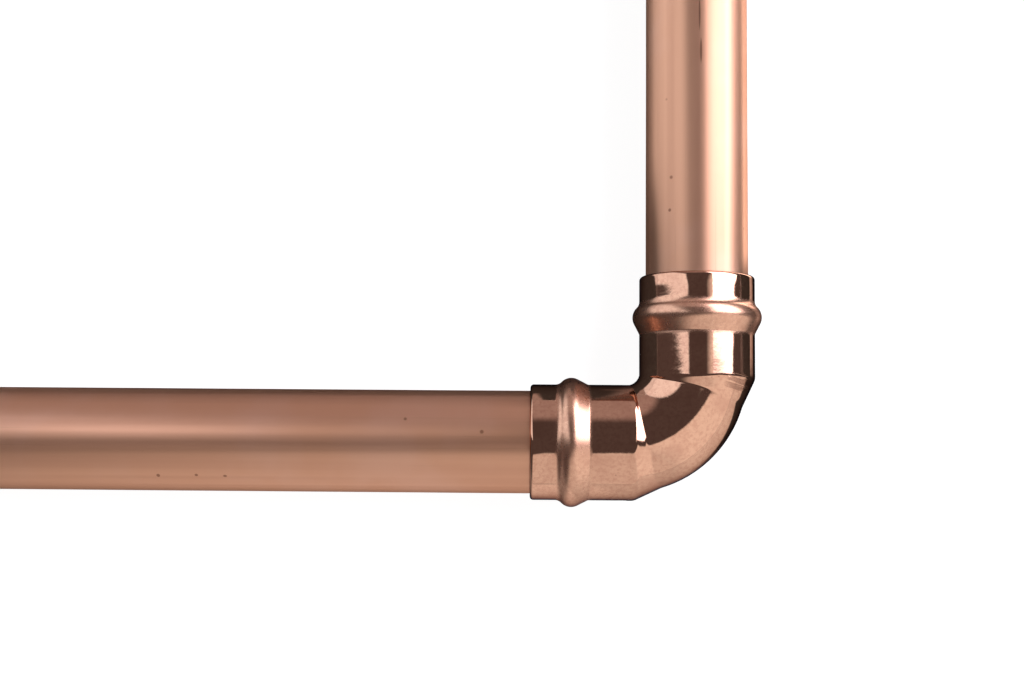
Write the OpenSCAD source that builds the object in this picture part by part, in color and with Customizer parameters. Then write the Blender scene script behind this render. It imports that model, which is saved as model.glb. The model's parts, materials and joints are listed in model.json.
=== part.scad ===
// Copper pipe: two straight tubes pushed into a solder-ring elbow, lying flat.
// The run tube leaves the elbow along -X and the riser tube along +Y.
// The origin is on the floor, at the middle of the part's footprint.

/* [Tubes] */
// Outside diameter of both tubes
tube_od = 15; // [12:0.5:20]
// Wall thickness of both tubes
tube_wall = 0.7; // [0.5:0.1:1.2]
// Length of the run tube from end to end
run_length = 1000; // [100:10:3000]
// Length of the riser tube from end to end
riser_length = 1000; // [100:10:3000]
// Bevel that the cutting wheel leaves round each cut end
cut_bevel = 0.2; // [0.1:0.05:0.4]

/* [Elbow] */
// Wall thickness of the elbow
elbow_wall = 0.9; // [0.7:0.05:1.2]
// Depth of each socket from its rim to its neck
socket_depth = 15.1; // [12.5:0.1:20]
// How far each socket runs on past the start of the bend
socket_overrun = 1.05; // [0.7:0.05:1.4]
// Radius of the tight inner corner of the bend
throat_r = 1.95; // [1.6:0.05:3]
// Step from the tube's outside in to the bore of the bend
stop_lip = 0.55; // [0.4:0.05:0.7]
// Degrees of the bend after which each neck has run out on the heel
neck_turn = 17; // [14:0.5:18]
// Rounding of the outer edge of each rim
rim_round = 0.5; // [0.2:0.05:0.6]
// Lead-in chamfer inside each rim
mouth_chamfer = 0.2; // [0.1:0.05:0.3]

/* [Beads] */
// Distance from each rim to the crest of its bead
bead_from_rim = 6; // [5:0.1:7]
// Height of the bead above the socket
bead_height = 1; // [0.9:0.05:1.2]
// Radius of the bead's crest
bead_crest_r = 2; // [1.6:0.05:2.1]
// Degrees by which the bead's flank on the side of the rim falls
rim_flank = 43; // [36:1:44]
// Degrees by which the bead's flank on the side of the bend falls
bend_flank = 27; // [24:1:36]
// Radius of the bead's foot on the side of the rim
rim_foot_r = 1.3; // [0.8:0.05:1.6]
// Radius of the bead's foot on the side of the bend
bend_foot_r = 1.5; // [0.8:0.05:2]
// Radius of the groove inside the bead
groove_r = 1.05; // [0.9:0.05:1.15]
// Diameter of the solder wire in each groove
wire_d = 1; // [0.8:0.05:1]

/* [Fits] */
// Gap round the tube in its socket, which the solder fills when heated
socket_gap = 0.05; // [0.03:0.01:0.1]
// Gap between the tube's end and the neck it stops on
seat_gap = 0.02; // [0.01:0.01:0.1]
// Gap between the solder wire and the floor of its groove
wire_gap = 0.02; // [0.01:0.01:0.03]
// How far the throat starts below the outside of the socket
throat_sink = 0.05; // [0.02:0.01:0.1]

/* [Hidden] */
$fn = 48;
tube_r = tube_od / 2;
tube_bore_r = tube_r - tube_wall;
socket_bore_r = tube_r + socket_gap;
socket_r = socket_bore_r + elbow_wall;
bend_bore_r = tube_r - stop_lip;
bend_tube_r = bend_bore_r + elbow_wall;
// Radii about the centre of the bend: its centre line and its heel
bend_r = throat_r + bend_tube_r;
heel_r = throat_r + 2 * bend_tube_r;
// Distances along a leg from the corner where the centre lines cross
bend_start = socket_r - throat_sink + throat_r;
neck_start = bend_start - socket_overrun;
rim_at = neck_start + socket_depth;
bead_at = rim_at - bead_from_rim;
bead_centre_r = socket_r + bead_height - bead_crest_r;
bead_top_r = socket_r + bead_height;
// The neck is a cone from the socket to the point where it meets the heel
meet_at = bend_start - heel_r * sin(neck_turn);
meet_r = heel_r * cos(neck_turn) - bend_start;
neck_angle = atan2(socket_r - meet_r, neck_start - meet_at);
// The neck's bore is a parallel cone one wall further in
neck_bore_start = neck_start + elbow_wall * tan(neck_angle / 2);
// The tube's bevelled end stops just short of the neck's bore
tube_from = neck_bore_start - socket_gap / tan(neck_angle) - cut_bevel + seat_gap;
ring_r = socket_bore_r + groove_r - wire_gap - wire_d / 2;
run_reach = tube_from + run_length;
riser_reach = tube_from + riser_length;
corner_x = (run_reach - bead_top_r) / 2;
corner_y = -(riser_reach - bead_top_r) / 2;
// Steps along each rounded stretch of a profile
crest_steps = 6;
foot_steps = 3;
edge_steps = 3;
groove_steps = 8;
// Sides drawn round the thin solder wire
wire_sides = 24;
// Thickness by which a cut passes the face it opens
past = 1;
tube_colour = [0.80, 0.55, 0.44];
elbow_colour = [0.76, 0.47, 0.35];
solder_colour = [0.72, 0.72, 0.70];

// Points of an arc about [radius, distance], from one angle to another
function arc(centre, r, from, to, steps) = [
    for (i = [0 : steps]) let (a = from + (to - from) * i / steps)
        [centre[0] + r * cos(a), centre[1] + r * sin(a)]
];

// Distance from the bead's middle to the place where a flank's foot reaches the socket
function foot_end(flank, foot_r) =
    let (rounding = bead_crest_r + foot_r)
        rounding * sin(flank) + (bead_height - rounding * (1 - cos(flank))) / tan(flank);

// Length of a neck cone, measured along the leg, to the point deepest inside the bend
function neck_length(start, r) =
    cos(neck_angle) * ((start - bend_start) * cos(neck_angle) + (bend_start + r) * sin(neck_angle));

// Turns a leg built up the Z axis into its place: the run along -X, the riser along +Y
module on_run() {
    translate([corner_x, corner_y, bead_top_r]) rotate([0, -90, 0]) children();
}

module on_riser() {
    translate([corner_x, corner_y, bead_top_r]) rotate([-90, 0, 0]) children();
}

// The bend turns about a centre in the crook of the two legs
module in_bend() {
    translate([corner_x - bend_start, corner_y + bend_start, bead_top_r])
        rotate([0, 0, -90]) children();
}

// One straight length of tube with a bevel round both cut ends
module tube(length) {
    rotate_extrude()
        polygon([
            [tube_bore_r, 0],
            [tube_r - cut_bevel, 0],
            [tube_r, cut_bevel],
            [tube_r, length - cut_bevel],
            [tube_r - cut_bevel, length],
            [tube_bore_r, length],
        ]);
}

// Outside of a socket: neck, straight wall, bead with sloping flanks, and rounded rim
module socket_outside() {
    neck = neck_length(neck_start, socket_r);
    neck_end_r = socket_r - neck * tan(neck_angle);
    bead_middle = [bead_centre_r, bead_at];
    bend_foot = [socket_r + bend_foot_r, bead_at - foot_end(bend_flank, bend_foot_r)];
    rim_foot = [socket_r + rim_foot_r, bead_at + foot_end(rim_flank, rim_foot_r)];
    rotate_extrude()
        polygon(concat(
            [[0, neck_start - neck], [neck_end_r, neck_start - neck], [socket_r, neck_start]],
            arc(bend_foot, bend_foot_r, 180, 180 - bend_flank, foot_steps),
            arc(bead_middle, bead_crest_r, -bend_flank, 0, crest_steps / 2),
            arc(bead_middle, bead_crest_r, 0, rim_flank, crest_steps / 2),
            arc(rim_foot, rim_foot_r, 180 + rim_flank, 180, foot_steps),
            arc([socket_r - rim_round, rim_at - rim_round], rim_round, 0, 90, edge_steps),
            [[0, rim_at]]
        ));
}

// Inside of a socket: neck cone, bore for the tube, ring groove and chamfered mouth
module socket_inside() {
    neck = neck_length(neck_bore_start, socket_bore_r);
    neck_end_r = socket_bore_r - neck * tan(neck_angle);
    rotate_extrude()
        polygon(concat(
            [[0, neck_bore_start - neck], [neck_end_r, neck_bore_start - neck]],
            [[socket_bore_r, neck_bore_start]],
            arc([socket_bore_r, bead_at], groove_r, -90, 90, groove_steps),
            [[socket_bore_r, rim_at - mouth_chamfer], [socket_bore_r + mouth_chamfer, rim_at]],
            [[socket_bore_r + mouth_chamfer, rim_at + past], [0, rim_at + past]]
        ));
}

// A quarter turn of round bar, used for the bend and for its bore
module quarter_turn(r) {
    rotate_extrude(angle = 90) translate([bend_r, 0]) circle(r = r);
}

module run_tube() {
    color(tube_colour) on_run() translate([0, 0, tube_from]) tube(run_length);
}

module riser_tube() {
    color(tube_colour) on_riser() translate([0, 0, tube_from]) tube(riser_length);
}

module elbow() {
    color(elbow_colour)
        difference() {
            union() {
                in_bend() quarter_turn(bend_tube_r);
                on_run() socket_outside();
                on_riser() socket_outside();
            }
            in_bend() quarter_turn(bend_bore_r);
            on_run() socket_inside();
            on_riser() socket_inside();
        }
}

// Ring of solder wire that lies in the groove of its socket
module solder_ring() {
    translate([0, 0, bead_at])
        rotate_extrude()
            translate([ring_r, 0]) circle(d = wire_d, $fn = wire_sides);
}

module run_solder_ring() {
    color(solder_colour) on_run() solder_ring();
}

module riser_solder_ring() {
    color(solder_colour) on_riser() solder_ring();
}

run_tube();
riser_tube();
elbow();
run_solder_ring();
riser_solder_ring();
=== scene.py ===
import json
from math import atan2, cos, pi, radians, sin, tan

import bpy
from mathutils import Euler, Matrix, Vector


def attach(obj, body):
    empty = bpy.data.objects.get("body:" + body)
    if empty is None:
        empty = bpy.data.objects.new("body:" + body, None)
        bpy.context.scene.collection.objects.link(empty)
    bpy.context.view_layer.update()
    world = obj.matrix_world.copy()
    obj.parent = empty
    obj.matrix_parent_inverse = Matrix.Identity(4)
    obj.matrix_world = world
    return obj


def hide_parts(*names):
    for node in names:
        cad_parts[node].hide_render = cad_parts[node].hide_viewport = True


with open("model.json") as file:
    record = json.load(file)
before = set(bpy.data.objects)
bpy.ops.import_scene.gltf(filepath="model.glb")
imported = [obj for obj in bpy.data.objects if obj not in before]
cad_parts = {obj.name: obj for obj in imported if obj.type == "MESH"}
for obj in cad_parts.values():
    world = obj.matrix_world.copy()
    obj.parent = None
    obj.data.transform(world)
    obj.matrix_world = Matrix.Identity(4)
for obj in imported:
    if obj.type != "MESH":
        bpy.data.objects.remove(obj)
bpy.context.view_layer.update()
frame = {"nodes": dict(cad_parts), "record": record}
mm = 0.001

# Where the centre lines of the two legs cross, taken from the part's mounts
mounts = {m["name"]: Vector(m["pos_m"]) for m in frame["record"]["mounts"]}
corner = Vector((mounts["riser_bore"].x, mounts["run_bore"].y, mounts["run_bore"].z))


# Small helpers

def deselectAll():
    if bpy.context.object and bpy.context.object.mode == "EDIT":
        bpy.ops.object.mode_set(mode="OBJECT")
    bpy.ops.object.select_all(action="DESELECT")


def pickOnly(piece):
    deselectAll()
    piece.select_set(True)
    bpy.context.view_layer.objects.active = piece


def selectVerts(piece, wanted):
    # Selects the vertices for which wanted(place) holds and stays in edit mode
    bpy.ops.object.mode_set(mode="EDIT")
    bpy.ops.mesh.select_mode(type="VERT")
    bpy.ops.mesh.select_all(action="DESELECT")
    bpy.ops.object.mode_set(mode="OBJECT")
    for v in piece.data.vertices:
        v.select = bool(wanted(v.co))
    bpy.ops.object.mode_set(mode="EDIT")


def selectEdges(piece, wanted):
    # Selects the edges for which wanted(end, end) holds and stays in edit mode
    bpy.ops.object.mode_set(mode="EDIT")
    bpy.ops.mesh.select_mode(type="EDGE")
    bpy.ops.mesh.select_all(action="DESELECT")
    bpy.ops.object.mode_set(mode="OBJECT")
    co = piece.data.vertices
    for e in piece.data.edges:
        e.select = bool(wanted(co[e.vertices[0]].co, co[e.vertices[1]].co))
    bpy.ops.object.mode_set(mode="EDIT")


def applyModifiers(piece):
    pickOnly(piece)
    for m in list(piece.modifiers):
        bpy.ops.object.modifier_apply(modifier=m.name)


def settle(piece):
    # Puts the piece's place and turn into its mesh
    pickOnly(piece)
    bpy.ops.object.transform_apply(location=True, rotation=True, scale=True)


def addNode(tree, kind, values=None, **settings):
    made = tree.nodes.new(kind)
    for key, value in settings.items():
        setattr(made, key, value)
    for key, value in (values or {}).items():
        made.inputs[key].default_value = value
    return made


def newMaterial(name):
    made = bpy.data.materials.new(name)
    made.use_nodes = True
    tree = made.node_tree
    shader = tree.nodes["Principled BSDF"]
    return made, tree, shader


def cornerPlace(tree):
    # Object coordinates as millimetres from the corner of the legs
    place = addNode(tree, "ShaderNodeTexCoord")
    mapping = addNode(tree, "ShaderNodeMapping", {
        "Scale": (1 / mm, 1 / mm, 1 / mm), "Location": [-c / mm for c in corner]})
    tree.links.new(place.outputs["Object"], mapping.inputs["Vector"])
    return mapping.outputs["Vector"]


def noiseAt(tree, place, scale, detail=2.0, rough=0.5, distort=0.0, turn=0.0):
    # scale is in cells per millimetre along X, Y and Z; turn is about Z, in degrees, before the stretch
    if turn:
        turned = addNode(tree, "ShaderNodeMapping", {"Rotation": (0, 0, radians(turn))})
        tree.links.new(place, turned.inputs["Vector"])
        place = turned.outputs["Vector"]
    mapping = addNode(tree, "ShaderNodeMapping", {"Scale": scale})
    noise = addNode(tree, "ShaderNodeTexNoise", {
        "Scale": 1.0, "Detail": detail, "Roughness": rough, "Distortion": distort})
    tree.links.new(place, mapping.inputs["Vector"])
    tree.links.new(mapping.outputs["Vector"], noise.inputs["Vector"])
    return noise.outputs["Fac"]


def specks(tree, place, scale, size, share):
    # Small round marks: size in cells, share of the cells that hold one
    mapping = addNode(tree, "ShaderNodeMapping", {"Scale": (scale, scale, scale)})
    cells = addNode(tree, "ShaderNodeTexVoronoi", {"Scale": 1.0, "Randomness": 1.0})
    tree.links.new(place, mapping.inputs["Vector"])
    tree.links.new(mapping.outputs["Vector"], cells.inputs["Vector"])
    spot = remap(tree, cells.outputs["Distance"], size * 0.4, size, 1, 0)
    split = addNode(tree, "ShaderNodeSeparateColor")
    tree.links.new(cells.outputs["Color"], split.inputs[0])
    kept = maths(tree, "LESS_THAN", split.outputs[0], share)
    return maths(tree, "MULTIPLY", spot, kept)


def marks(tree, place, wanted):
    # Soft-edged marks at given places: middle and half size in mm from the corner
    found = None
    for middle, size in wanted:
        mapping = addNode(tree, "ShaderNodeMapping", {
            "Location": [-m / s for m, s in zip(middle, size)], "Scale": [1 / s for s in size]})
        away = addNode(tree, "ShaderNodeVectorMath", operation="LENGTH")
        tree.links.new(place, mapping.inputs["Vector"])
        tree.links.new(mapping.outputs["Vector"], away.inputs[0])
        mark = remap(tree, away.outputs["Value"], 0.55, 1, 1, 0)
        found = mark if found is None else maths(tree, "MAXIMUM", found, mark)
    return found


def remap(tree, value, fromLow, fromHigh, toLow, toHigh):
    made = addNode(tree, "ShaderNodeMapRange", {
        "From Min": fromLow, "From Max": fromHigh, "To Min": toLow, "To Max": toHigh})
    made.interpolation_type = "SMOOTHSTEP"
    tree.links.new(value, made.inputs["Value"])
    return made.outputs["Result"]


def mixColour(tree, amount, first, second, blend="MIX"):
    made = addNode(tree, "ShaderNodeMix", data_type="RGBA", blend_type=blend)
    for socket, value in ((made.inputs["Factor"], amount), (made.inputs[6], first), (made.inputs[7], second)):
        if hasattr(value, "is_output"):
            tree.links.new(value, socket)
        else:
            socket.default_value = value
    return made.outputs[2]


def maths(tree, operation, first, second=0.0):
    made = addNode(tree, "ShaderNodeMath", operation=operation)
    for socket, value in ((made.inputs[0], first), (made.inputs[1], second)):
        if hasattr(value, "is_output"):
            tree.links.new(value, socket)
        else:
            socket.default_value = value
    return made.outputs[0]


def bump(tree, height, depth, under=None):
    # depth is how far in metres a height of 1 stands proud
    made = addNode(tree, "ShaderNodeBump", {"Strength": 1.0, "Distance": depth})
    tree.links.new(height, made.inputs["Height"])
    if under is not None:
        tree.links.new(under, made.inputs["Normal"])
    return made.outputs["Normal"]


# Camera

camera = {
    "lens": 52.73,  # mm, on a sensor 36 mm wide
    "place": (-23.34, -4.32, 220.07),  # mm from the corner of the legs
    "tilt": (4.82, 0.993, 0.396),  # degrees, turned about Z, then Y, then X
}


def setCamera():
    data = bpy.data.cameras.new("camera")
    data.lens = camera["lens"]
    data.sensor_width = 36
    data.clip_start = 0.01
    data.clip_end = 100
    made = bpy.data.objects.new("camera", data)
    bpy.context.scene.collection.objects.link(made)
    made.location = corner + Vector(camera["place"]) * mm
    turn = Euler([radians(a) for a in camera["tilt"]], "ZYX").to_matrix()
    made.rotation_euler = turn.to_euler("XYZ")
    bpy.context.scene.camera = made
    bpy.context.scene.view_settings.view_transform = "Standard"


# Studio

studio = {
    "floorSize": 40,  # m
    "floorColour": (0.25, 0.25, 0.25, 1),
    "floorGlow": 0.92,  # added where the camera sees the floor
    "glowInMetal": 0.06,  # share of that glow which polished copper sees
    "floorPolish": 0.80,  # how strongly the floor mirrors the room back into the copper
    "polishRoughness": 0.12,
    # Painted shade: patches beside the pipe where the floor mirrors nothing, so the copper's edges darken as if
    # the floor there lay in the pipe's shadow
    "paintedShadeAboveRun": (10, 38, 12),  # mm from the corner: from, to, fade
    "paintedShadeInCrook": (-31, -12, 5),
    "paintedShadeBesideTube": (-23, -12, 5),
    "paintedShadePastRiser": (12, 600, 10),
    "heelSlant": 0.25,  # the lower edge of that patch rises by this much along X
    "heelEdge": (-13, -9.5),
    # Painted light: strips of floor that glow only to the copper, for the bright lines along its edges, and a
    # pale patch below the run
    "paintedStripBySocket": (20, 27, 2),
    "paintedStripByTube": (18.5, 24.5, 1),
    "paintedStripGlow": 7,
    "paintedPaleBelowRun": (-200, -12, 4),
    "paintedBelowGlow": 0.2,
    "tubeSlant": 0.13,
    "tubeEdge": (24, 28),
    "room": (0.088, 0.075, 0.076, 1),  # radiance of the dark room
    "back": (0.395, 0.345, 0.345, 1),  # and of its back wall, towards +Y
    "backFrom": (0.60, 0.82),  # the wall fades in over this range of the direction's Y
    "backdrop": (1, 1, 1, 1),  # what the camera sees past the floor
}

# Pale sheets that hang round the table: radiance in red, green and blue, a direction inside the sheet, and its edges. An edge is
# straight through two directions, and the sheet fades out over the angle that follows. All in degrees,
# azimuth from +X and elevation.
sheets = {
    "left": ((1.06, 1.14, 1.22), (150, 25), (
        ((121, 0), (160, 62), 4),
        ((171.8, 46), (171.3, 19), 1.6),
    )),
    "front": ((0.72, 0.71, 0.69), (-55, 25), (
        ((-12, 52), (-107, 61), 4),
        ((-10, 0), (-10, 60), 4),
        ((-100, 60), (-100, 0), 30),
    )),
    "frontRight": ((0.94, 0.95, 0.93), (-30, 25), (
        ((-12, 52), (-107, 61), 4),
        ((-10, 0), (-10, 60), 4),
        ((-45, 60), (-45, 0), 60),
    )),
    "key": ((4.4, 4.5, 5.0), (30, 40), (
        ((0, 63), (90, 0), 3),
        ((20, 11), (60, 8), 3),
        ((5, 24), (13, 11), 3),
        ((4, 20), (14, 60), 4.3),
        ((79, 25), (63, 8), 4),
    )),
    "keyFringe": ((1.0, 1.0, 1.0), (15, 40), (
        ((0, 64), (90, 0), 16),
        ((0, 21), (90, 0), 8),
        ((12, 0), (12, 60), 6),
        ((25, 0), (25, 60), 8),
    )),
}

# Place in m from the corner, turns in degrees about X, Y and Z, width and height in m, radiance
lamps = {
    "nearLeft": ((-0.173, 0.130, 0.221), (0, 0, -58), 0.18, 0.055, (0.86, 0.98, 1.20)),
    "nearMiddle": ((-0.115, 0.088, 0.222), (0, 0, 0), 0.175, 0.11, (0.48, 0.46, 0.44)),
}


def band(tree, value, low, high, fade):
    # 1 between low and high, falling to 0 within fade outside them
    rise = remap(tree, value, low - fade, low, 0, 1)
    return maths(tree, "MULTIPLY", rise, remap(tree, value, high, high + fade, 1, 0))


def floorPaintedShadeAndLight(tree):
    # Painted shade and painted light on the floor, seen only in the copper: where the floor mirrors nothing, as
    # painted shade beside the pipe, and where it shows its whole glow to the copper, as painted bright strips
    split = addNode(tree, "ShaderNodeSeparateXYZ")
    tree.links.new(cornerPlace(tree), split.inputs[0])
    x, y = split.outputs["X"], split.outputs["Y"]

    def product(*values):
        made = values[0]
        for value in values[1:]:
            made = maths(tree, "MULTIPLY", made, value)
        return made

    def largest(*values):
        made = values[0]
        for value in values[1:]:
            made = maths(tree, "MAXIMUM", made, value)
        return made

    def slanted(slope, edge):
        level = maths(tree, "SUBTRACT", y, maths(tree, "MULTIPLY", x, slope))
        return remap(tree, level, *edge, 0, 1)
    byTube = slanted(studio["tubeSlant"], studio["tubeEdge"])
    bySocket = maths(tree, "SUBTRACT", remap(tree, y, 8, 12, 0, 1), byTube)
    # Painted shade: the floor beside the pipe is made to mirror nothing
    dull = largest(
        product(band(tree, y, *studio["paintedShadeAboveRun"]), remap(tree, x, -14, -10, 1, 0)),
        product(band(tree, x, *studio["paintedShadeInCrook"]), bySocket),
        product(band(tree, x, *studio["paintedShadeBesideTube"]), byTube),
        product(band(tree, x, *studio["paintedShadePastRiser"]), slanted(studio["heelSlant"], studio["heelEdge"])))
    # Painted light: glowing strips beside the socket and the tube, and a pale patch below the run, seen only by
    # the copper
    paintedLight = largest(
        product(band(tree, x, *studio["paintedStripBySocket"]), remap(tree, y, 8, 16, 0, 1)),
        product(band(tree, x, *studio["paintedStripByTube"]), byTube, studio["paintedStripGlow"]),
        product(band(tree, y, *studio["paintedPaleBelowRun"]), remap(tree, x, -16, -8, 1, 0), studio["paintedBelowGlow"]))
    return dull, paintedLight


def setFloor():
    deselectAll()
    bpy.ops.mesh.primitive_plane_add(size=studio["floorSize"], location=(0, 0, 0))
    floor = bpy.context.active_object
    floor.name = "floor"
    material, tree, shader = newMaterial("palePaper")
    tree.nodes.remove(shader)
    diffuse = addNode(tree, "ShaderNodeBsdfDiffuse", {"Color": studio["floorColour"]})
    glow = addNode(tree, "ShaderNodeEmission", {"Color": (1, 1, 1, 1)})
    path = addNode(tree, "ShaderNodeLightPath")
    # Painted shade and painted light, seen only where the copper reflects the floor
    dull, paintedLight = floorPaintedShadeAndLight(tree)
    # Painted light: the strips' glow reaches glossy rays only, so it shows in the copper and not to the camera
    inMetal = maths(tree, "MULTIPLY", paintedLight, 1 - studio["glowInMetal"])
    inMetal = maths(tree, "ADD", inMetal, studio["glowInMetal"])
    inMetal = maths(tree, "MULTIPLY", path.outputs["Is Glossy Ray"], inMetal)
    seen = maths(tree, "MAXIMUM", path.outputs["Is Camera Ray"], inMetal)
    seen = maths(tree, "MAXIMUM", seen, path.outputs["Is Transmission Ray"])
    tree.links.new(maths(tree, "MULTIPLY", seen, studio["floorGlow"]), glow.inputs["Strength"])
    polish = addNode(tree, "ShaderNodeBsdfAnisotropic", {"Roughness": studio["polishRoughness"]})
    ground = addNode(tree, "ShaderNodeMixShader")
    # Painted shade: the floor's mirror is taken away over the dull patches
    bright = maths(tree, "MULTIPLY", maths(tree, "SUBTRACT", 1.0, dull), studio["floorPolish"])
    tree.links.new(bright, polish.inputs["Color"])
    tree.links.new(path.outputs["Is Glossy Ray"], ground.inputs[0])
    tree.links.new(diffuse.outputs[0], ground.inputs[1])
    tree.links.new(polish.outputs[0], ground.inputs[2])
    both = addNode(tree, "ShaderNodeAddShader")
    tree.links.new(ground.outputs[0], both.inputs[0])
    tree.links.new(glow.outputs[0], both.inputs[1])
    tree.links.new(both.outputs[0], tree.nodes["Material Output"].inputs["Surface"])
    floor.data.materials.append(material)


def directionTo(azimuth, elevation):
    a, e = radians(azimuth), radians(elevation)
    return Vector((cos(a) * cos(e), sin(a) * cos(e), sin(e)))


def setRoom():
    world = bpy.data.worlds.new("studioRoom")
    bpy.context.scene.world = world
    world.use_nodes = True
    tree = world.node_tree
    way = addNode(tree, "ShaderNodeTexCoord").outputs["Generated"]
    split = addNode(tree, "ShaderNodeSeparateXYZ")
    tree.links.new(way, split.inputs[0])
    wall = remap(tree, split.outputs["Y"], *studio["backFrom"], 0, 1)
    light = mixColour(tree, wall, studio["room"], studio["back"])
    for radiance, middle, edges in sheets.values():
        share = None
        for first, second, fade in edges:
            across = addNode(tree, "ShaderNodeVectorMath", operation="DOT_PRODUCT")
            tree.links.new(way, across.inputs[0])
            normal = directionTo(*first).cross(directionTo(*second)).normalized()
            inwards = 1 if normal.dot(directionTo(*middle)) > 0 else -1
            across.inputs[1].default_value = normal * inwards
            inside = remap(tree, across.outputs["Value"], -sin(radians(fade)), 0, 0, 1)
            share = inside if share is None else maths(tree, "MULTIPLY", share, inside)
        sheet = mixColour(tree, share, (0, 0, 0, 1), (*radiance, 1))
        light = mixColour(tree, 1.0, light, sheet, "LIGHTEN")
    direct = addNode(tree, "ShaderNodeLightPath").outputs["Is Camera Ray"]
    light = mixColour(tree, direct, light, studio["backdrop"])
    tree.links.new(light, tree.nodes["Background"].inputs["Color"])
    tree.nodes["Background"].inputs["Strength"].default_value = 1


def setLamps():
    for name, (place, turns, width, height, radiance) in lamps.items():
        data = bpy.data.lights.new(name, "AREA")
        data.shape = "RECTANGLE"
        data.size, data.size_y = width, height
        data.energy = 4 * width * height
        data.color = radiance
        lamp = bpy.data.objects.new(name, data)
        bpy.context.scene.collection.objects.link(lamp)
        lamp.location = corner + Vector(place)
        lamp.rotation_euler = [radians(t) for t in turns]
        lamp.visible_camera = False


def lightAlone(name, piece):
    # The sheets that these lamps stand for are near, so only the tube below sees them there
    lit = bpy.data.collections.new(name + "Lit")
    lit.objects.link(piece)
    bpy.data.objects[name].light_linking.receiver_collection = lit


# Tubes

tube = {
    "radius": 7.5,
    "wall": 0.7,
    "sides": 96,
    "cuts": (13, 13),  # rings are cut twice, so the rings are near 5 mm apart
    "endBevel": 0.22,
    "wave": (28.0, 0.05),  # size and depth in mm of the slight unevenness of drawn tube
}


def makeTube(name, node, start, end):
    deselectAll()
    middle, along = (start + end) / 2, end - start
    bpy.ops.mesh.primitive_cylinder_add(
        vertices=tube["sides"], radius=tube["radius"] * mm, depth=along.length,
        end_fill_type="NOTHING", location=middle,
        rotation=along.to_track_quat("Z", "Y").to_euler())
    piece = bpy.context.active_object
    piece.name = name
    settle(piece)
    way = along.normalized()
    for cuts in tube["cuts"]:
        selectEdges(piece, lambda a, b: abs((a - b).normalized().dot(way)) > 0.99)
        bpy.ops.mesh.subdivide(number_cuts=cuts)
        bpy.ops.object.mode_set(mode="OBJECT")

    size, depth = tube["wave"]
    clouds = bpy.data.textures.new(name + "Wave", "CLOUDS")
    clouds.noise_scale = size * mm
    wave = piece.modifiers.new("wave", "DISPLACE")
    wave.texture = clouds
    wave.texture_coords = "LOCAL"
    wave.strength = depth * mm
    wall = piece.modifiers.new("wall", "SOLIDIFY")
    wall.thickness = tube["wall"] * mm
    wall.offset = -1
    applyModifiers(piece)

    def endEdge(a, b):
        level = along.length / 2 - 0.05 * mm
        return all(abs((p - middle).dot(way)) > level for p in (a, b)) and \
            all(((p - middle) - way * (p - middle).dot(way)).length > 7.2 * mm for p in (a, b))
    selectEdges(piece, endEdge)
    bpy.ops.mesh.bevel(offset=tube["endBevel"] * mm, segments=3)
    bpy.ops.object.mode_set(mode="OBJECT")
    pickOnly(piece)
    bpy.ops.object.shade_smooth_by_angle(angle=radians(35))
    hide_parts(node)
    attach(piece, "root")
    return piece


# Elbow

elbow = {  # mm and degrees
    "socketRadius": 8.45,
    "rimAt": 24.4,
    "rimRound": 0.5,
    "beadAt": 18.4,
    "beadHeight": 1.0,
    "crestRadius": 2.0,
    "rimFlank": (43, 1.3),  # fall of the flank, radius of its foot
    "bendFlank": (27, 0.5),
    "bendStart": 10.35,
    "bendLine": 9.8,  # radius of the bend's centre line
    "bendTube": 7.85,
    "kinkAt": 9.3,
    "kinkRound": 1.2,
    "neckAngle": 25.05,
    "neckLength": 6.3,
    "wall": 0.86,
    "sides": 128,
    "bendSteps": 45,
    "creaseBetween": (-4, 38),  # degrees of the bend between which the neck's crease is smoothed
    "creaseSmooth": 9,
    "creaseFactors": (0.5, -0.52),  # each pass smooths and then swells by as much
}


def arcPoints(distance, radius, r, start, end, steps):
    # Points (distance along the leg, radius) of an arc, angles from the straight outward direction
    made = []
    for i in range(steps + 1):
        a = radians(start + (end - start) * i / steps)
        made.append((distance + r * sin(a), radius + r * cos(a)))
    return made


def socketProfile():
    # (distance along the leg, radius) from the rim to the start of the bend
    e = elbow
    outside, crest = e["socketRadius"], e["crestRadius"]

    def footEnd(flank, foot):
        rounding = crest + foot
        fall = radians(flank)
        return rounding * sin(fall) + (e["beadHeight"] - rounding * (1 - cos(fall))) / tan(fall)
    (rimFall, rimFoot), (bendFall, bendFoot) = e["rimFlank"], e["bendFlank"]
    rimEnd = e["beadAt"] + footEnd(rimFall, rimFoot)
    bendEnd = e["beadAt"] - footEnd(bendFall, bendFoot)
    points = arcPoints(e["rimAt"] - e["rimRound"], outside - e["rimRound"], e["rimRound"], 90, 0, 6)
    points += [(rimEnd + 1.6, outside), (rimEnd + 0.3, outside)]
    points += arcPoints(rimEnd, outside + rimFoot, rimFoot, 180, 180 + rimFall, 10)
    flank = arcPoints(e["beadAt"], outside + e["beadHeight"] - crest, crest, rimFall, -bendFall, 28)
    points += between(points[-1], flank[0], 5) + flank
    foot = arcPoints(bendEnd, outside + bendFoot, bendFoot, 180 - bendFall, 180, 8)
    points += between(flank[-1], foot[0], 5) + foot
    points += between(foot[-1], (e["bendStart"], outside), 14) + [(e["bendStart"], outside)]
    return points


def between(first, last, steps):
    return [tuple(a + (b - a) * i / steps for a, b in zip(first, last)) for i in range(1, steps)]


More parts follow.
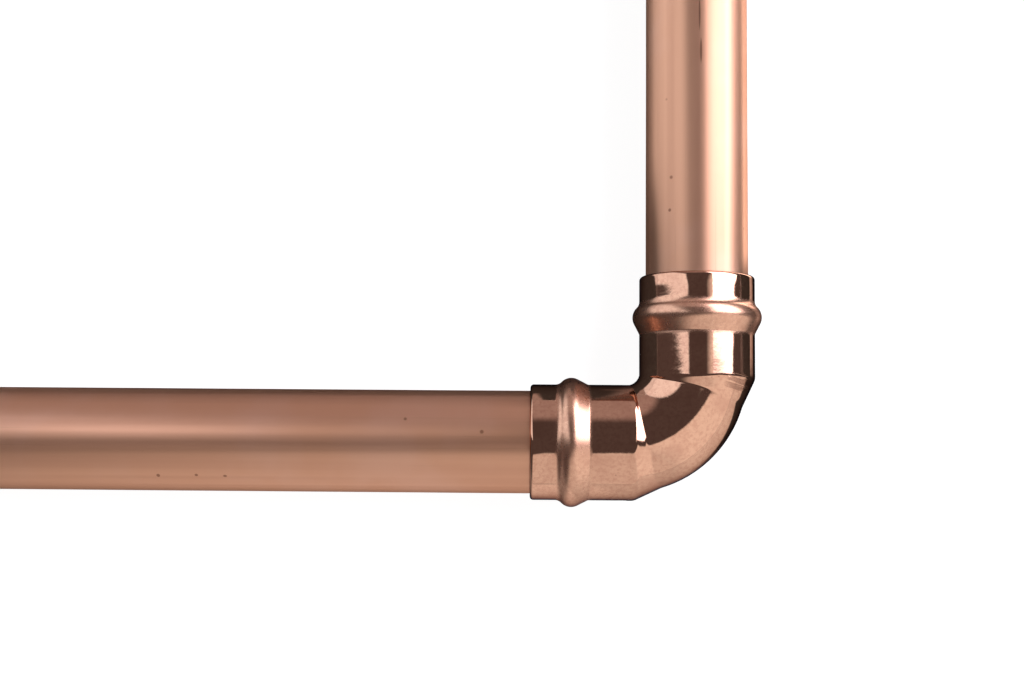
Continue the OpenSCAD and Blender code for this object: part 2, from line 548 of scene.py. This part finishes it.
def makeElbow():
    e = elbow
    deselectAll()
    # A ring turns 45 degrees about the crook, which makes half of the bend
    centre = corner + Vector((-e["bendStart"], e["bendStart"], 0)) * mm
    bpy.ops.mesh.primitive_circle_add(
        vertices=e["sides"], radius=e["bendTube"] * mm,
        location=centre - Vector((0, e["bendLine"] * mm, 0)), rotation=(0, pi / 2, 0))
    piece = bpy.context.active_object
    piece.name = "elbow_body"
    settle(piece)
    bpy.ops.object.mode_set(mode="EDIT")
    bpy.ops.mesh.select_all(action="SELECT")
    bpy.ops.mesh.spin(steps=e["bendSteps"], angle=-pi / 4, center=centre, axis=(0, 0, 1))
    bpy.ops.mesh.select_all(action="SELECT")
    bpy.ops.mesh.normals_make_consistent(inside=False)
    bpy.ops.object.mode_set(mode="OBJECT")

    # The bend swells out to the neck wherever the neck is the wider of the two
    former = makeNeckFormer()
    draw = piece.modifiers.new("necks", "SHRINKWRAP")
    draw.wrap_method = "PROJECT"
    draw.use_positive_direction = True
    draw.use_negative_direction = False
    draw.cull_face = "FRONT"
    draw.project_limit = 5 * mm
    draw.target = former
    applyModifiers(piece)
    bpy.data.objects.remove(former)

    # The socket is drawn out of the bend's first ring, ring by ring up to the rim
    selectVerts(piece, lambda p: abs(p.x - centre.x) < 0.01 * mm)
    middle = corner + Vector((-e["bendStart"] * mm, 0, 0))
    bpy.ops.transform.resize(value=(0, 1, 1), center_override=middle)
    profile = socketProfile()[::-1]
    for (s0, r0), (s1, r1) in zip(profile, profile[1:]):
        bpy.ops.mesh.extrude_region_move(TRANSFORM_OT_translate={"value": ((s0 - s1) * mm, 0, 0)})
        middle = corner + Vector((-s1 * mm, 0, 0))
        bpy.ops.transform.resize(value=(1, r1 / r0, r1 / r0), center_override=middle)
    bpy.ops.object.mode_set(mode="OBJECT")

    def turned(p):
        # Degrees of the bend that a place has passed
        local = p - centre
        return atan2(local.x, -local.y) * 180 / pi
    before, after = e["creaseBetween"]
    selectVerts(piece, lambda p: before < turned(p) < after)
    for factor in e["creaseFactors"] * e["creaseSmooth"]:
        bpy.ops.mesh.vertices_smooth(factor=factor)
    bpy.ops.object.mode_set(mode="OBJECT")

    # The other half is the same shape turned over the diagonal
    plane = bpy.data.objects.new("diagonal", None)
    bpy.context.scene.collection.objects.link(plane)
    plane.location = corner
    plane.rotation_euler = (0, 0, radians(45))
    bpy.context.view_layer.update()
    half = piece.modifiers.new("otherLeg", "MIRROR")
    half.use_axis = (True, False, False)
    half.mirror_object = plane
    half.merge_threshold = 1e-6
    applyModifiers(piece)
    bpy.data.objects.remove(plane)

    bpy.ops.object.mode_set(mode="EDIT")
    bpy.ops.mesh.select_all(action="SELECT")
    bpy.ops.mesh.normals_make_consistent(inside=False)
    bpy.ops.object.mode_set(mode="OBJECT")
    wall = piece.modifiers.new("wall", "SOLIDIFY")
    wall.thickness = e["wall"] * mm
    wall.offset = -1
    applyModifiers(piece)
    pickOnly(piece)
    bpy.ops.object.shade_smooth_by_angle(angle=radians(40))
    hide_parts("elbow")
    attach(piece, "root")
    return piece


def makeNeckFormer():
    # A turned plug: socket-wide, a rounded kink, then a cone that runs into the bend
    e = elbow
    lean = radians(e["neckAngle"])
    reach = e["kinkRound"] * tan(lean / 2)
    profile = [(16.0, e["socketRadius"])]
    profile += arcPoints(e["kinkAt"] + reach, e["socketRadius"] - e["kinkRound"], e["kinkRound"],
                         0, -e["neckAngle"], 10)
    profile.append((e["kinkAt"] - e["neckLength"], e["socketRadius"] - e["neckLength"] * tan(lean)))
    deselectAll()
    first = profile[0]
    bpy.ops.mesh.primitive_circle_add(
        vertices=256, radius=first[1] * mm, fill_type="NGON",
        location=corner + Vector((-first[0] * mm, 0, 0)), rotation=(0, pi / 2, 0))
    former = bpy.context.active_object
    settle(former)
    bpy.ops.object.mode_set(mode="EDIT")
    bpy.ops.mesh.select_all(action="SELECT")
    for (s0, r0), (s1, r1) in zip(profile, profile[1:]):
        bpy.ops.mesh.extrude_region_move(TRANSFORM_OT_translate={"value": ((s0 - s1) * mm, 0, 0)})
        bpy.ops.transform.resize(value=(1, r1 / r0, r1 / r0), center_override=corner + Vector((-s1 * mm, 0, 0)))
    bpy.ops.mesh.select_all(action="SELECT")
    bpy.ops.mesh.normals_make_consistent(inside=False)
    bpy.ops.object.mode_set(mode="OBJECT")
    return former


# Copper and solder

drawnCopper = {
    "clean": (0.80, 0.415, 0.27, 1),
    "dull": (0.66, 0.325, 0.215, 1),
    "pink": (0.83, 0.47, 0.345, 1),
    "stain": (0.30, 0.13, 0.08, 1),
    "edge": (0.30, 0.30, 0.32, 1),
    "roughness": (0.31, 0.41),  # on burnished stretches and on duller ones
    "brushed": 0.6,  # the fine grooves of the drawing spread light across the tube and not along it
    "lineDepth": 0.0003,  # mm
    "stains": (  # middle and half size of the larger dark marks, in mm from the corner
        ((-77.6, -5.3, 5.4), (0.32, 0.28, 1.5)),
        ((-72.1, -5.2, 5.4), (0.30, 0.22, 1.5)),
        ((-68.0, -5.3, 5.4), (0.34, 0.20, 1.5)),
        ((-0.3, 62.0, 7.5), (0.16, 3.0, 1.5)),
        ((-0.1, 56.5, 7.5), (0.20, 2.2, 1.5)),
        ((-4.5, 33.4, 6.0), (0.24, 0.30, 1.5)),
    ),
    "scuffed": (((-39.5, 2.3, 7.1), (13.5, 1.7, 3.0)),),  # fine scratches across the run
    "scuffDepth": 0.01,
}

formedCopper = {
    "clean": (0.86, 0.48, 0.333, 1),
    "dull": (0.70, 0.36, 0.25, 1),
    "stain": (0.34, 0.16, 0.11, 1),
    "edge": (0.10, 0.14, 0.20, 1),
    "roughness": (0.03, 0.09),
    "beadRoughness": 0.24,  # added over the bead
    "beadFrom": (15.9, 20.4, 0.6),  # mm along the leg: from, to, fade
    "peelDepth": 0.005,
    "pitDepth": 0.006,
    "scratched": (((5.2, 8.6, 5.0), (2.7, 1.6, 6.0)),),  # parallel scratches beside the riser's neck
    "scratchDepth": 0.02,
}


def tubeFinish(name, axis):
    # axis: direction of the tube, along which the draw lines run
    c = drawnCopper
    material, tree, shader = newMaterial(name)
    place = cornerPlace(tree)
    along = [0.012 if part else 1.0 for part in axis]

    def lines(density, detail, seedTurn=0.0):
        return noiseAt(tree, place, [density * a for a in along], detail, 0.6, 0.0, seedTurn)
    broad = lines(0.35, 2)
    fine = lines(2.4, 3)
    cloud = noiseAt(tree, place, (0.06, 0.06, 0.06), 3, 0.55)
    colour = mixColour(tree, remap(tree, broad, 0.4, 0.62, 0, 0.35), c["clean"], c["dull"])
    colour = mixColour(tree, remap(tree, cloud, 0.45, 0.7, 0, 0.5), colour, c["pink"])
    colour = mixColour(tree, remap(tree, fine, 0.6, 0.8, 0, 0.2), colour, c["stain"])
    spot = specks(tree, place, 0.16, 0.06, 0.35)
    colour = mixColour(tree, maths(tree, "MULTIPLY", spot, 0.75), colour, c["stain"])
    colour = mixColour(tree, maths(tree, "MULTIPLY", marks(tree, place, c["stains"]), 0.8), colour, c["stain"])
    tree.links.new(colour, shader.inputs["Base Color"])
    tree.links.new(remap(tree, broad, 0.35, 0.65, *c["roughness"]), shader.inputs["Roughness"])
    scuff = noiseAt(tree, place, (7.0, 0.5, 0.5), 2, 0.6)
    scuff = maths(tree, "MULTIPLY", scuff, marks(tree, place, c["scuffed"]))
    shape = bump(tree, fine, c["lineDepth"] * mm)
    tree.links.new(bump(tree, scuff, c["scuffDepth"] * mm, shape), shader.inputs["Normal"])
    across = addNode(tree, "ShaderNodeVectorMath", operation="CROSS_PRODUCT")
    tree.links.new(addNode(tree, "ShaderNodeNewGeometry").outputs["Normal"], across.inputs[0])
    across.inputs[1].default_value = axis
    tree.links.new(across.outputs[0], shader.inputs["Tangent"])
    shader.inputs["Anisotropic"].default_value = c["brushed"]
    shader.inputs["Metallic"].default_value = 1
    shader.inputs["Specular Tint"].default_value = c["edge"]
    return material


def alongLeg(tree, place):
    # Distance from the corner along whichever leg a place is on
    split = addNode(tree, "ShaderNodeSeparateXYZ")
    tree.links.new(place, split.inputs[0])
    return maths(tree, "MAXIMUM", maths(tree, "MULTIPLY", split.outputs["X"], -1.0), split.outputs["Y"])


def elbowFinish():
    c = formedCopper
    material, tree, shader = newMaterial("formedCopper")
    place = cornerPlace(tree)
    cloud = noiseAt(tree, place, (0.22, 0.22, 0.22), 4, 0.6)
    mottle = noiseAt(tree, place, (1.8, 1.8, 1.8), 4, 0.65)
    peel = noiseAt(tree, place, (0.55, 0.55, 0.55), 2, 0.5)
    pits = specks(tree, place, 0.9, 0.16, 0.1)
    colour = mixColour(tree, remap(tree, cloud, 0.42, 0.68, 0, 0.7), c["clean"], c["dull"])
    colour = mixColour(tree, remap(tree, mottle, 0.40, 0.68, 0, 0.8), colour, c["dull"])
    colour = mixColour(tree, maths(tree, "MULTIPLY", pits, 0.5), colour, c["stain"])
    scratch = remap(tree, noiseAt(tree, place, (0.10, 4.5, 0.10), 1, 0.5, 0.0, 12), 0.48, 0.56, 0, 1)
    scratch = maths(tree, "MULTIPLY", scratch, marks(tree, place, c["scratched"]))
    colour = mixColour(tree, maths(tree, "MULTIPLY", scratch, 0.6), colour, c["stain"])
    tree.links.new(colour, shader.inputs["Base Color"])
    matt = remap(tree, mottle, 0.35, 0.7, *c["roughness"])
    beads = maths(tree, "MULTIPLY", band(tree, alongLeg(tree, place), *c["beadFrom"]), c["beadRoughness"])
    tree.links.new(maths(tree, "ADD", matt, beads), shader.inputs["Roughness"])
    shape = bump(tree, peel, c["peelDepth"] * mm)
    shape = bump(tree, mottle, c["pitDepth"] * mm * 0.5, shape)
    shape = bump(tree, scratch, -c["scratchDepth"] * mm, shape)
    tree.links.new(shape, shader.inputs["Normal"])
    shader.inputs["Metallic"].default_value = 1
    shader.inputs["Specular Tint"].default_value = c["edge"]
    return material


def solderFinish():
    material, tree, shader = newMaterial("solderWire")
    place = cornerPlace(tree)
    mottle = noiseAt(tree, place, (1.5, 1.5, 1.5), 3)
    colour = mixColour(tree, mottle, (0.62, 0.62, 0.60, 1), (0.78, 0.78, 0.76, 1))
    tree.links.new(colour, shader.inputs["Base Color"])
    tree.links.new(remap(tree, mottle, 0.3, 0.7, 0.3, 0.45), shader.inputs["Roughness"])
    shader.inputs["Metallic"].default_value = 1
    return material


def dress(piece, material):
    piece.data.materials.clear()
    piece.data.materials.append(material)


setCamera()
setFloor()
setRoom()
setLamps()
print("camera and studio set")
reach = (9.213, 1009.213)  # mm from the corner to the two ends of a tube
runTube = makeTube("run_pipe", "run_tube", *[corner + Vector((-r, 0, 0)) * mm for r in reach])
riserTube = makeTube("riser_pipe", "riser_tube", *[corner + Vector((0, r, 0)) * mm for r in reach])
for name in lamps:
    lightAlone(name, runTube)
print("tubes drawn")
elbowBody = makeElbow()
print("elbow formed")
dress(runTube, tubeFinish("drawnCopperRun", (1, 0, 0)))
dress(riserTube, tubeFinish("drawnCopperRiser", (0, 1, 0)))
dress(elbowBody, elbowFinish())
solder = solderFinish()
for name in ("run_solder_ring", "riser_solder_ring"):
    dress(frame["nodes"][name], solder)
print("finishes on")
